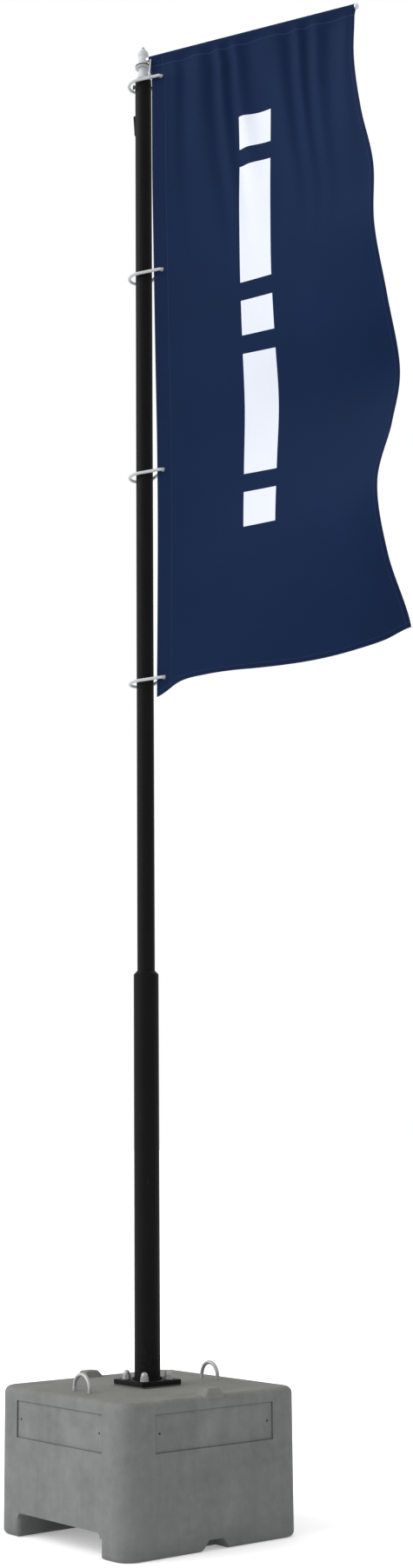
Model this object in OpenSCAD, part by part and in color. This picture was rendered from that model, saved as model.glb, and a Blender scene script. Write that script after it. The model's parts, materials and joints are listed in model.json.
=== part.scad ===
// Mobile flagpole: a cast concrete ballast block carries a stepped steel mast.
// A head that turns on the mast holds a boom, and the boom and four rings hold the flag.
// Millimetres, +Z up. The origin is on the mast's axis, at ground level.
// The fork channel runs along Y, and the stacking lugs stand on the -X and +X edges.

/* [Ballast block] */
// Length of each side of the square block
block_w = 900; // [880:5:960]
// Height of the block
block_h = 590; // [560:5:640]
// Radius of the upright corners
corner_r = 83; // [60:1:100]
// Rounding of the top edges
top_round = 28; // [15:1:35]
// Rounding of the bottom edges
bottom_round = 20; // [10:1:24]
// Width of the channel for forklift forks
channel_w = 575; // [540:5:590]
// Height of the channel
channel_h = 97; // [80:1:105]

/* [Stacking lugs and pockets] */
// Width of a lug at the block's top
lug_w = 108; // [90:1:130]
// Width of a lug's crest
lug_top_w = 70; // [40:1:80]
// Length of a lug, inwards from the block's side
lug_l = 76; // [66:1:90]
// Height of a lug above the block
lug_h = 27; // [20:1:36]
// Width of a pocket at the ground
pocket_w = 142; // [138:1:160]
// Depth of a pocket, inwards from the block's side
pocket_l = 95; // [92:1:110]
// Height of a pocket
pocket_h = 43; // [40:1:50]

/* [Sign recesses] */
// Length of a recess
recess_l = 600; // [500:5:640]
// Height of a recess
recess_h = 147; // [120:1:160]
// Depth of a recess
recess_d = 6; // [3:1:10]
// Height of a recess's middle above the ground
recess_z = 467; // [440:1:480]
// Distance between a recess's two plugs
plug_spacing = 550; // [400:5:560]
// Diameter of a plug
plug_d = 10; // [8:1:12]
// Diameter of a plug's screw hole
plug_hole_d = 5; // [4:0.5:6]
// Length of a plug
plug_l = 50; // [40:5:60]

/* [Lifting loops] */
// Diameter of the bar
loop_bar_d = 16; // [12:1:20]
// Distance between the middles of a loop's two legs
loop_w = 106; // [80:2:110]
// Height of a loop's crown above the block
loop_h = 76; // [64:1:90]
// Depth of the legs in the concrete
loop_embed = 180; // [100:10:250]
// Distance of a loop from the block's side
loop_inset = 117; // [100:1:140]

/* [Base plate and anchors] */
// Side of the square base plate
plate_w = 206; // [196:2:260]
// Thickness of the base plate
plate_t = 18; // [12:1:25]
// Rounding of the base plate's corners
plate_r = 10; // [4:1:16]
// Height of the concrete bed under the base plate
bed_h = 7; // [2:1:12]
// Distance between two neighbouring anchor studs
anchor_spacing = 124; // [118:2:140]
// Diameter of an anchor stud
stud_d = 20; // [16:4:20]
// Depth of a stud in the concrete
stud_embed = 250; // [150:10:320]

/* [Mast] */
// Outside diameter of the lower tube
lower_d = 108; // [101.6:0.1:114.3]
// Wall of the lower tube
lower_wall = 4; // [3:0.5:6]
// Height of the lower tube's top above the ground
step_z = 2301; // [2000:1:2500]
// Outside diameter of the upper tube
upper_d = 76.1; // [70:0.1:80]
// Wall of the upper tube
upper_wall = 3; // [2:0.5:4]
// Height of the upper tube's top above the ground
mast_top_z = 6490; // [6000:1:7000]
// Length of the upper tube inside the lower one
mast_overlap = 300; // [200:10:500]

/* [Turning head] */
// Direction of the boom from the X axis, in degrees
boom_azimuth = 26.7; // [0:0.1:359]
// Diameter of the post under the head
post_d = 43; // [40:1:46]
// Diameter of the disc that turns on the post
disc_d = 76; // [70:1:80]
// Thickness of the disc
disc_t = 11; // [8:1:14]
// Diameter of the boom's hub
hub_d = 44; // [40:1:46]
// Height of the boom's hub
hub_h = 46.5; // [44:0.5:56]
// Diameter of the boom
boom_d = 22; // [20:1:24]
// Distance of the boom's end from the mast's axis
boom_reach = 1062; // [1000:1:1200]

/* [Flag and rings] */
// Length of the flag from hem to bottom edge, along the mast
flag_l = 3054; // [2900:1:3200]
// Thickness of the flag's stand-in
flag_t = 6; // [4:1:8]
// Width of the doubled band along the mast
band_w = 74; // [60:1:90]
// How far the band hangs in front of the boom
band_front = 24; // [22:1:26]
// Diameter of a ring's bar
ring_bar_d = 13.8; // [10:0.2:14]
// Tilt of a ring, up towards the flag, in degrees
ring_tilt = 5.1; // [0:0.1:8]
// Turn of a ring's tip, from the boom to the front, in degrees
ring_turn = 13.9; // [13:0.1:15]
// Heights of the four rings at the mast
ring_z = [6471, 5509, 4551, 3594];

/* [Hidden] */
$fn = 96;

// How far a cut runs past the face it opens
past = 1;
half_w = block_w / 2;
// Heights up the mast's foot
plate_foot_z = block_h + bed_h;
plate_top_z = plate_foot_z + plate_t;
washer_d = 37;
washer_t = 3;
nut_z = plate_top_z + washer_t;
nut_across = 30;
nut_hex_h = 16;
nut_h = 34;
nut_bore_h = 25;
weld_leg = 8;
collar_h = 15;
collar_grip = 80;
// Heights up the head
collar_top_z = mast_top_z + 26;
disc_z = mast_top_z + 64;
post_gap = 0.5;
post_foot_r = post_d / 2 + 4;
hub_z = disc_z + disc_t;
boom_z = disc_z + 40;
hub_top_z = hub_z + hub_h;
cone_h = 43;
spindle_d = 16;
spindle_h = 24;
spindle_clearance = 0.05;
rim_t = 5;
lip_t = 3;
// The hem wraps the boom, and the flag hangs below it
hem_gap = 0.6;
hem_t = 2.4;
hem_d = boom_d + 2 * (hem_gap + hem_t);
hem_near = 27;
hem_far = boom_reach - 6;
flag_top_z = boom_z - hem_d / 2 - 0.3;
flag_bottom_z = flag_top_z - flag_l;
// A ring is a big bend behind the mast and a small one at the flag, joined by straight sides
ring_back_s = -15;
ring_back_r = 56;
ring_tip_s = 95;
ring_tip_r = 12;
ring_lap = 1;
ring_step = 0.4;
ring_taper = asin((ring_back_r - ring_tip_r) / (ring_tip_s - ring_back_s));
eyelet_s = ring_tip_s + ring_tip_r - 2.5;
eyelet_d = 24;
// Distance of the flag's near edge from the mast's axis, at every tenth of its height
near_reach = [56, 56, 56.5, 60.5, 64.5, 69, 74, 76.5, 75.5, 72.5, 69];
// The flag's free edge at every tenth of its height: its reach along the boom, and its sway
free_reach = [1058, 1082, 1132, 1196, 1196, 1213, 1219, 1218, 1177, 1183, 1225];
free_sway = [0, 90, 155, 195, 200, 105, -20, 100, 190, 95, -60];
// How far the bottom edge has risen at every tenth of the flag's width
bottom_lift = [0, 53, 72, 79, 79, 81, 87, 100, 121, 149, 194];
// The flag's stand-in is a grid of this many columns and rows, and the band has the same rows
flag_cols = 16;
flag_rows = 40;

// ---- shapes that repeat ----

// The outer end of the block's outline, with its rounded top and bottom edges
module side_profile(half) {
    translate([0, bottom_round]) square([half, block_h - bottom_round - top_round]);
    square([half - bottom_round, block_h / 2]);
    translate([0, block_h / 2]) square([half - top_round, block_h / 2]);
    translate([half - bottom_round, bottom_round]) circle(r = bottom_round);
    translate([half - top_round, block_h - top_round]) circle(r = top_round);
}

// The block in pieces that meet on flat faces: a core, four sides and four quarter-round corners
module rounded_block() {
    at = half_w - corner_r;
    translate([-at, -at, 0]) cube([2 * at, 2 * at, block_h]);
    for (turn = [0 : 90 : 270])
        rotate([0, 0, turn]) {
            translate([at, 0, 0])
                rotate([90, 0, 0])
                    linear_extrude(height = 2 * at, center = true) side_profile(corner_r);
            translate([at, at, 0]) rotate_extrude(angle = 90) side_profile(corner_r);
        }
}

// A solid that tapers both ways: one outline seen along X, the other seen along Y
module tapered(outline_y, outline_x) {
    intersection() {
        rotate([90, 0, 90]) linear_extrude(height = block_w) polygon(outline_y);
        rotate([90, 0, 0]) linear_extrude(height = block_w, center = true) polygon(outline_x);
    }
}

// Balls at the four corners of a lug, mirrored about its middle
module lug_corners(outer, inner, half, r, z) {
    for (x = [outer - r, inner + r], sy = [-1, 1])
        translate([x, sy * (half - r), z]) sphere(r = r, $fn = 32);
}

// A lug is a soft mound: a wide foot sunk in the block's edge, and a narrow crest
module stacking_lug() {
    face = half_w - 1;
    hull() {
        lug_corners(face, half_w - lug_l, lug_w / 2, 12, block_h - 8);
        lug_corners(face - 3, half_w - 0.8 * lug_l, lug_top_w / 2, 10, block_h + lug_h - 10);
    }
}

module stacking_pocket() {
    w = pocket_w / 2;
    slope = w * 0.48 / pocket_h;
    tapered(
        [[-w - slope, -past], [w + slope, -past],
         [w - slope * pocket_h, pocket_h], [-w + slope * pocket_h, pocket_h]],
        [[half_w - pocket_l, -past], [half_w + past, -past],
         [half_w + past, pocket_h], [half_w - 0.8 * pocket_l, pocket_h]]
    );
}

// The channel is rounded under its roof, and its legs are rounded at the ground
module channel_profile() {
    w = channel_w / 2;
    r = bottom_round;
    translate([-w, r]) square([channel_w, channel_h - 2 * r]);
    translate([-w + r, 0]) square([channel_w - 2 * r, channel_h]);
    translate([-w + r, channel_h - r]) circle(r = r);
    translate([w - r, channel_h - r]) circle(r = r);
    difference() {
        translate([-w - r, -past]) square([channel_w + 2 * r, r + past]);
        translate([-w - r, r]) circle(r = r);
        translate([w + r, r]) circle(r = r);
    }
}

// What is cut from the upright edges of the channel's mouth
module mouth_round(side) {
    w = channel_w / 2;
    r = bottom_round;
    translate([0, 0, -past])
        linear_extrude(height = channel_h - r + past)
            difference() {
                translate([side > 0 ? w - past : -w - r, half_w - r]) square([r + past, r + past]);
                translate([side * (w + r), half_w - r]) circle(r = r);
            }
}

module fork_channel() {
    rotate([90, 0, 0])
        linear_extrude(height = block_w + 2 * past, center = true) channel_profile();
    for (turn = [0, 180], side = [-1, 1])
        rotate([0, 0, turn]) mouth_round(side);
}

// The base plate's outline, drawn in by an inset
module plate_outline(inset) {
    offset(r = plate_r - inset) square(plate_w - 2 * plate_r, center = true);
}

// Places its children at one side of the block, facing +X before it is turned
module at_side(turn) {
    rotate([0, 0, turn]) children();
}

module sign_recess() {
    translate([half_w - recess_d, -recess_l / 2, recess_z - recess_h / 2])
        cube([recess_d + past, recess_l, recess_h]);
    for (sy = [-1, 1])
        translate([half_w - recess_d - plug_l, sy * plug_spacing / 2, recess_z])
            rotate([0, 90, 0]) cylinder(d = plug_d, h = plug_l + past);
}

module sign_plugs(turn) {
    color("dimgray")
        at_side(turn)
            for (sy = [-1, 1])
                translate([half_w - recess_d - plug_l, sy * plug_spacing / 2, recess_z])
                    rotate([0, 90, 0])
                        difference() {
                            cylinder(d = plug_d, h = plug_l);
                            translate([0, 0, past]) cylinder(d = plug_hole_d, h = plug_l);
                        }
}

// Half a hoop on two straight legs, in the XZ plane
module loop_bar(legs_down) {
    r = loop_w / 2;
    spring_z = loop_h - loop_bar_d / 2 - r;
    translate([0, 0, spring_z])
        rotate([90, 0, 0])
            rotate_extrude(angle = 180) translate([r, 0]) circle(d = loop_bar_d);
    for (sx = [-1, 1])
        translate([sx * r, 0, -legs_down]) cylinder(d = loop_bar_d, h = legs_down + spring_z);
}

module lifting_loop(sy) {
    color("lightgray")
        translate([0, sy * (half_w - loop_inset), block_h]) loop_bar(loop_embed);
}

// Places its children at anchor number i, counted from the corner at +X -Y
module at_anchor(i) {
    sx = [1, 1, -1, -1][i];
    sy = [-1, 1, 1, -1][i];
    translate([sx * anchor_spacing / 2, sy * anchor_spacing / 2, 0]) children();
}

module anchor_stud(i) {
    color("silver")
        at_anchor(i)
            translate([0, 0, block_h - stud_embed])
                cylinder(d = stud_d, h = stud_embed + bed_h + plate_t + washer_t + nut_bore_h - 1);
}

module anchor_washer(i) {
    color("silver")
        at_anchor(i)
            translate([0, 0, plate_top_z])
                difference() {
                    cylinder(d = washer_d, h = washer_t);
                    translate([0, 0, -past]) cylinder(d = stud_d + 1, h = washer_t + 2 * past);
                }
}

// A dome nut: a hexagon under a round dome, bored from below
module anchor_nut(i) {
    dome_r = nut_across / 2 - 1;
    color("silver")
        at_anchor(i)
            translate([0, 0, nut_z])
                difference() {
                    union() {
                        cylinder(d = nut_across / cos(30), h = nut_hex_h, $fn = 6);
                        cylinder(r = dome_r, h = nut_h - dome_r);
                        intersection() {
                            translate([0, 0, nut_h - dome_r]) sphere(r = dome_r);
                            translate([0, 0, nut_hex_h]) cylinder(r = dome_r + past, h = nut_h);
                        }
                    }
                    translate([0, 0, -past]) cylinder(d = stud_d, h = nut_bore_h + past);
                }
}

module tube(d, wall, h) {
    difference() {
        cylinder(d = d, h = h);
        translate([0, 0, -past]) cylinder(d = d - 2 * wall, h = h + 2 * past);
    }
}

// Places its children in the head's frame: X along the boom, at a height
module on_head(z) {
    rotate([0, 0, boom_azimuth]) translate([0, 0, z]) children();
}

// Places its children in a ring's frame: X from the mast to the ring's tip, tilted up
module on_ring(i) {
    on_head(ring_z[i]) rotate([0, 0, -ring_turn]) rotate([0, -ring_tilt, 0]) children();
}

// One bend of a ring: its middle, its radius and the angle it turns through, about the X axis
module ring_bend(s, r, middle, angle) {
    translate([s, 0, 0])
        rotate([0, 0, middle - angle / 2])
            rotate_extrude(angle = angle) translate([r, 0]) circle(d = ring_bar_d, $fn = 48);
}

// One straight side of a ring: a hair thinner than its bends, and reaching into both of them
module ring_side(sy) {
    side_l = (ring_tip_s - ring_back_s) * cos(ring_taper);
    translate([ring_back_s, 0, 0])
        rotate([0, 0, sy * (90 - ring_taper)])
            translate([ring_back_r, 0, 0])
                rotate([sy * 90, 0, 0])
                    translate([0, 0, -ring_lap])
                        cylinder(d = ring_bar_d - ring_step, h = side_l + 2 * ring_lap, $fn = 48);
}

module flag_ring(i) {
    color("whitesmoke")
        on_ring(i) {
            ring_bend(ring_back_s, ring_back_r, 180, 180 + 2 * ring_taper);
            ring_bend(ring_tip_s, ring_tip_r, 0, 180 - 2 * ring_taper);
            for (sy = [-1, 1]) ring_side(sy);
        }
}

// ---- block ----

module ballast_block() {
    color("gray")
        difference() {
            union() {
                rounded_block();
                for (turn = [0, 180]) at_side(turn) stacking_lug();
                translate([0, 0, block_h - past])
                    linear_extrude(height = bed_h + past) plate_outline(2);
            }
            fork_channel();
            for (turn = [0, 180]) at_side(turn) stacking_pocket();
            for (turn = [0 : 90 : 270]) at_side(turn) sign_recess();
            for (i = [0 : 3])
                at_anchor(i)
                    translate([0, 0, block_h - stud_embed])
                        cylinder(d = stud_d, h = stud_embed + bed_h + past);
            for (sx = [-1, 1], sy = [-1, 1])
                translate([sx * loop_w / 2, sy * (half_w - loop_inset), block_h - loop_embed])
                    cylinder(d = loop_bar_d, h = loop_embed + past);
        }
}

// ---- mast ----

module base_plate() {
    color("black")
        difference() {
            translate([0, 0, plate_foot_z]) linear_extrude(height = plate_t) plate_outline(0);
            for (i = [0 : 3])
                at_anchor(i)
                    translate([0, 0, plate_foot_z - past])
                        cylinder(d = stud_d + 2, h = plate_t + 2 * past);
        }
}

module foot_weld() {
    r = lower_d / 2;
    color("black")
        translate([0, 0, plate_top_z])
            rotate_extrude() polygon([[r, 0], [r + weld_leg, 0], [r, weld_leg]]);
}

module lower_mast_tube() {
    color("black")
        translate([0, 0, plate_top_z]) tube(lower_d, lower_wall, step_z - plate_top_z);
}

// Fills the gap between the two tubes, with a sloped shoulder on top
module step_collar() {
    bore_r = upper_d / 2;
    color("black")
        rotate_extrude()
            polygon([
                [bore_r, step_z - collar_grip], [lower_d / 2 - lower_wall, step_z - collar_grip],
                [lower_d / 2 - lower_wall, step_z], [lower_d / 2, step_z],
                [bore_r + 1.5, step_z + collar_h], [bore_r, step_z + collar_h]
            ]);
}

module upper_mast_tube() {
    foot_z = step_z - mast_overlap;
    color("black") translate([0, 0, foot_z]) tube(upper_d, upper_wall, mast_top_z - foot_z);
}

// A small housing on the side of the tube, cut away towards its bottom
module halyard_outlet() {
    r = upper_d / 2;
    z = mast_top_z - 270;
    color("black")
        rotate([0, 0, boom_azimuth + 180])
            difference() {
                rotate([90, 0, 0])
                    linear_extrude(height = 26, center = true)
                        polygon([[r - 8, z], [r + 4, z], [r + 10, z + 22], [r + 10, z + 92],
                                 [r + 7, z + 97], [r - 8, z + 97]]);
                translate([0, 0, z - past]) cylinder(r = r, h = 97 + 2 * past);
            }
}

module clamp_knob() {
    r = upper_d / 2;
    color("black")
        rotate([0, 0, 256])
            translate([0, 0, mast_top_z - 41.5])
                difference() {
                    rotate([0, 90, 0])
                        union() {
                            translate([0, 0, r - 2]) cylinder(d = 8, h = 5);
                            translate([0, 0, r + 2]) cylinder(d = 16, h = 10);
                        }
                    cylinder(r = r, h = 20, center = true);
                }
}

module mast_top_collar() {
    color("whitesmoke")
        rotate_extrude()
            polygon([
                [0, mast_top_z - 20], [upper_d / 2 - upper_wall, mast_top_z - 20],
                [upper_d / 2 - upper_wall, mast_top_z], [upper_d / 2, mast_top_z],
                [upper_d / 2, mast_top_z + 3], [33, mast_top_z + 9], [28.5, mast_top_z + 17],
                [post_foot_r, collar_top_z], [0, collar_top_z]
            ]);
}

module head_post() {
    post_h = disc_z - post_gap - collar_top_z;
    color("whitesmoke")
        translate([0, 0, collar_top_z]) {
            cylinder(r1 = post_foot_r, r2 = post_d / 2, h = post_h);
            cylinder(d = spindle_d, h = post_h + spindle_h);
        }
}

// ---- turning head ----

module spindle_bore() {
    translate([0, 0, disc_z - past])
        cylinder(r = spindle_d / 2 + spindle_clearance, h = spindle_h + past);
}

module turning_disc() {
    color("whitesmoke")
        difference() {
            translate([0, 0, disc_z]) {
                cylinder(d = disc_d, h = lip_t);
                cylinder(r = disc_d / 2 - rim_t, h = disc_t);
            }
            spindle_bore();
        }
}

// The dark band round the disc stands on the disc's lip
module disc_rim() {
    color("dimgray") translate([0, 0, disc_z + lip_t]) tube(disc_d, rim_t, disc_t - lip_t);
}

module boom_hub() {
    color("whitesmoke")
        difference() {
            translate([0, 0, hub_z]) cylinder(d = hub_d, h = hub_h);
            spindle_bore();
            on_head(boom_z)
                translate([-4, 0, 0]) rotate([0, 90, 0]) cylinder(d = boom_d, h = hub_d);
        }
}

module cap_cone() {
    r = hub_d / 2;
    color("whitesmoke")
        rotate_extrude()
            polygon([
                [4, hub_top_z], [r, hub_top_z], [r + 3, hub_top_z + 9], [r + 3, hub_top_z + 20],
                [9, hub_top_z + cone_h], [4, hub_top_z + cone_h]
            ]);
}

module cap_screw() {
    color("dimgray")
        translate([0, 0, hub_top_z]) {
            cylinder(r = 4, h = cone_h);
            translate([0, 0, cone_h]) cylinder(r1 = 7, r2 = 5, h = 9);
        }
}

module boom_tube() {
    color("whitesmoke")
        on_head(boom_z)
            translate([-4, 0, 0]) rotate([0, 90, 0]) tube(boom_d, 2, boom_reach + 4);
}

module boom_tip_cap() {
    color("lightgray")
        on_head(boom_z)
            translate([boom_reach, 0, 0])
                rotate([0, 90, 0])
                    union() {
                        translate([0, 0, -20]) cylinder(d = boom_d - 4, h = 21);
                        cylinder(d = boom_d + 4, h = 14);
                    }
}

// The strap that runs from the hem's corner down to the first ring
module corner_strap() {
    color("whitesmoke")
        difference() {
            on_head(0)
                hull() {
                    translate([40, -16, boom_z - 12]) cube([8, 6, 3]);
                    translate([49, -43.2, ring_z[0] + 9]) cube([8, 3, 3]);
                }
            on_head(boom_z) rotate([0, 90, 0]) cylinder(d = hem_d, h = eyelet_s);
            on_ring(0) ring_side(-1);
        }
}

// ---- flag ----

module flag_hem() {
    color("midnightblue")
        on_head(boom_z)
            translate([hem_near, 0, 0])
                rotate([0, 90, 0])
                    difference() {
                        cylinder(d = hem_d, h = hem_far - hem_near);
                        translate([0, 0, -past])
                            cylinder(d = boom_d + 2 * hem_gap, h = hem_far - hem_near + 2 * past);
                    }
}

// Runs smoothly from 0 to 1 while x does
function ease(x) = x <= 0 ? 0 : x >= 1 ? 1 : (1 - cos(180 * x)) / 2;
// A smooth curve through evenly spaced values, read at x from 0 to 1
function curve(values, x) =
    let (last = len(values) - 1,
         i = min(floor(x * last), last - 1),
         f = x * last - i,
         a = values[i],
         b = values[i + 1],
         slope_a = (b - values[max(i - 1, 0)]) / 2,
         slope_b = (values[min(i + 2, last)] - a) / 2)
    a + f * slope_a + f * f * (3 * (b - a) - 2 * slope_a - slope_b)
    + f * f * f * (2 * (a - b) + slope_a + slope_b);
// A point of the cloth at t down the flag: u runs from -1 at the near edge to 0 at the band's
// other edge and to 1 at the free edge. The band leaves the hem and soon hangs in front of it.
function flag_point(u, t, side) =
    let (near = curve(near_reach, t),
         seam = near + band_w,
         s = u < 0 ? seam + u * band_w : seam + u * (curve(free_reach, t) - seam),
         across = max(u, 0),
         front = band_front * ease(t / 0.04) * pow(1 - across, 3)
                 + curve(free_sway, t) * pow(across, 1.7),
         down = t * (flag_l - curve(bottom_lift, across)))
    [s, -front + side * flag_t / 2, flag_top_z - down];

// A part of the cloth as one closed grid: a front sheet, a back sheet and the edge between them
module cloth(u_from, u_to, cols) {
    front = [for (j = [0 : flag_rows], i = [0 : cols])
             flag_point(u_from + (u_to - u_from) * i / cols, j / flag_rows, -1)];
    back = [for (j = [0 : flag_rows], i = [0 : cols])
            flag_point(u_from + (u_to - u_from) * i / cols, j / flag_rows, 1)];
    row = cols + 1;
    shift = row * (flag_rows + 1);
    front_faces = [for (j = [0 : flag_rows - 1], i = [0 : cols - 1], half = [0, 1])
        let (a = j * row + i)
        half == 0 ? [a, a + 1, a + row] : [a + 1, a + row + 1, a + row]];
    back_faces = [for (f = front_faces) [f[0] + shift, f[2] + shift, f[1] + shift]];
    rim = concat(
        [for (i = [0 : cols - 1]) i],
        [for (j = [0 : flag_rows - 1]) j * row + cols],
        [for (i = [cols : -1 : 1]) flag_rows * row + i],
        [for (j = [flag_rows : -1 : 1]) j * row]
    );
    rim_faces = [for (k = [0 : len(rim) - 1], half = [0, 1])
        let (a = rim[k], b = rim[(k + 1) % len(rim)])
        half == 0 ? [a, b + shift, b] : [a, a + shift, b + shift]];
    on_head(0) polyhedron(concat(front, back), concat(front_faces, back_faces, rim_faces));
}

module flag_band() {
    color("midnightblue")
        difference() {
            cloth(-1, 0, 1);
            for (i = [0 : 3])
                on_ring(i)
                    translate([eyelet_s, 0, 0])
                        rotate([90, 0, 0]) cylinder(d = eyelet_d, h = 4 * flag_t, center = true);
        }
}

module flag() {
    color("midnightblue") cloth(0, 1, flag_cols);
}

ballast_block();
lifting_loop(-1);  // lifting_loop_front
lifting_loop(1);  // lifting_loop_rear
sign_plugs(0);  // sign_plugs_right
sign_plugs(90);  // sign_plugs_rear
sign_plugs(180);  // sign_plugs_left
sign_plugs(270);  // sign_plugs_front
base_plate();
foot_weld();
anchor_stud(0);  // anchor_stud_1
anchor_stud(1);  // anchor_stud_2
anchor_stud(2);  // anchor_stud_3
anchor_stud(3);  // anchor_stud_4
anchor_washer(0);  // anchor_washer_1
anchor_washer(1);  // anchor_washer_2
anchor_washer(2);  // anchor_washer_3
anchor_washer(3);  // anchor_washer_4
anchor_nut(0);  // anchor_nut_1
anchor_nut(1);  // anchor_nut_2
anchor_nut(2);  // anchor_nut_3
anchor_nut(3);  // anchor_nut_4
lower_mast_tube();
step_collar();
upper_mast_tube();
halyard_outlet();
clamp_knob();
mast_top_collar();
head_post();
turning_disc();
disc_rim();
boom_hub();
cap_cone();
cap_screw();
boom_tube();
boom_tip_cap();
corner_strap();
flag_hem();
flag_band();
flag();
flag_ring(0);  // flag_ring_1
flag_ring(1);  // flag_ring_2
flag_ring(2);  // flag_ring_3
flag_ring(3);  // flag_ring_4
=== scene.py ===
# %% [markdown]
# # A mobile flagpole
# A concrete block carries a stepped steel mast, and a turning head holds a boom and a tall flag.
# The solids come from CAD, at their real size, and stay where they are. This script gives them
# their finishes, and makes the pieces that a lathe, a press or a sewing machine would shape.
# Lengths are in metres. +Z is up, the origin is on the mast's axis at ground level.

# %% Load the solids
import json
import math

import bpy
from mathutils import Matrix, Vector


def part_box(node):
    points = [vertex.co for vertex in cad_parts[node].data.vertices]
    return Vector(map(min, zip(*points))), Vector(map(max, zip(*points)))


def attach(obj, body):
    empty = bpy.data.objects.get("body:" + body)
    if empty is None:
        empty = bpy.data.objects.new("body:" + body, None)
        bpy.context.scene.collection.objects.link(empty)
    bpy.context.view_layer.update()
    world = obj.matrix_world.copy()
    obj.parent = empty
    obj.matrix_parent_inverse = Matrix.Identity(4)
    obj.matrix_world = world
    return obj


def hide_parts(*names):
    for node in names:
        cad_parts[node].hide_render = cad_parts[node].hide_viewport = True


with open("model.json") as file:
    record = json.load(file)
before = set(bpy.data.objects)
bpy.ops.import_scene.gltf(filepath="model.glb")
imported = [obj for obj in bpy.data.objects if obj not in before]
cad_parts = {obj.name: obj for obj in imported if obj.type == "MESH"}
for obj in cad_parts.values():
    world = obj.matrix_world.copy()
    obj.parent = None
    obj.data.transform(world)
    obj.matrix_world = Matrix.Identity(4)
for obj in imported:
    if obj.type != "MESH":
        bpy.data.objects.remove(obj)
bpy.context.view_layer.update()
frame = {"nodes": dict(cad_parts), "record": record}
solids = frame["nodes"]

# %% [markdown]
# ## Camera
# The object is tall and narrow and is seen from eye height, from 8.6 metres away, so the camera
# tilts up and its picture is upright. Three unit vectors say how it is turned: where it looks,
# its right and its up. Writing them as a matrix's columns is exact, and needs no target object.

# %% Aim the camera
EYE = Vector((6.8758, -5.1759, 1.5887))
YAW, PITCH, ROLL = math.radians(51.244), math.radians(10.193), math.radians(-0.498)
LENS, SENSOR_WIDTH = 45.63, 36

looking = Vector((-math.sin(YAW) * math.cos(PITCH), math.cos(YAW) * math.cos(PITCH), math.sin(PITCH)))
level_right = Vector((math.cos(YAW), math.sin(YAW), 0))
level_up = level_right.cross(looking)
right = math.cos(ROLL) * level_right + math.sin(ROLL) * level_up
up = -math.sin(ROLL) * level_right + math.cos(ROLL) * level_up

bpy.ops.object.select_all(action="DESELECT")
bpy.ops.object.camera_add(location=EYE)
camera = bpy.context.object
camera.name = "camera"
camera.matrix_world = Matrix.Translation(EYE) @ Matrix((right, up, -looking)).transposed().to_4x4()
camera.data.sensor_width = SENSOR_WIDTH
camera.data.lens = LENS
bpy.context.scene.camera = camera
print("camera at", tuple(round(c, 2) for c in EYE), "lens", camera.data.lens)

# %% [markdown]
# ## Floor and light
# A plain white floor and a white sky give soft light from all sides. One wide lamp, from the left
# of the camera, gives the light a direction, so that the block's faces and the round mast read as
# separate surfaces. The floor glows a little, like a light table, so the channel under the block
# isn't black. The plain colour transform keeps a finish's colour as it is written.

# %% Light the studio
LAMP_PLACE, LAMP_TARGET = Vector((-3.8, -8.1, 7.2)), Vector((0, 0, 2))
LAMP_ENERGY, LAMP_SPREAD = 2.7, math.radians(60)
FLOOR_SIZE, FLOOR_GREY, FLOOR_ROUGHNESS, FLOOR_GLOW = 600, 0.80, 0.9, 0.30
WHITE = (1.0, 1.0, 1.0, 1)

bpy.context.scene.view_settings.view_transform = "Standard"
sky = bpy.data.worlds.new("studio_sky")
bpy.context.scene.world = sky
sky.use_nodes = True
sky.node_tree.nodes["Background"].inputs["Color"].default_value = WHITE
sky.node_tree.nodes["Background"].inputs["Strength"].default_value = 1.0

bpy.ops.object.light_add(type="SUN", location=LAMP_PLACE)
key_lamp = bpy.context.object
key_lamp.name = "soft_key_lamp"
key_lamp.data.energy = LAMP_ENERGY
key_lamp.data.angle = LAMP_SPREAD
key_lamp.rotation_euler = (LAMP_TARGET - key_lamp.location).to_track_quat("-Z", "Y").to_euler()

bpy.ops.mesh.primitive_plane_add(size=FLOOR_SIZE, location=(0, 0, 0))
floor = bpy.context.object
floor.name = "studio_floor"
white_floor = bpy.data.materials.new("white_floor_finish")
white_floor.use_nodes = True
floor_shader = white_floor.node_tree.nodes["Principled BSDF"]
floor_shader.inputs["Base Color"].default_value = (FLOOR_GREY, FLOOR_GREY, FLOOR_GREY, 1)
floor_shader.inputs["Roughness"].default_value = FLOOR_ROUGHNESS
floor_shader.inputs["Emission Color"].default_value = WHITE
floor_shader.inputs["Emission Strength"].default_value = FLOOR_GLOW
floor.data.materials.append(white_floor)
print("key lamp:", key_lamp.data.energy)

# %% [markdown]
# ## Shader maths
# A finish is a graph of nodes. Written by hand, a graph takes many lines, so one small class wraps
# an output and lets Python's own + - * % < and > add the Math nodes. A second class holds a
# material, makes any other node from its type and settings, and mixes colours.


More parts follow.
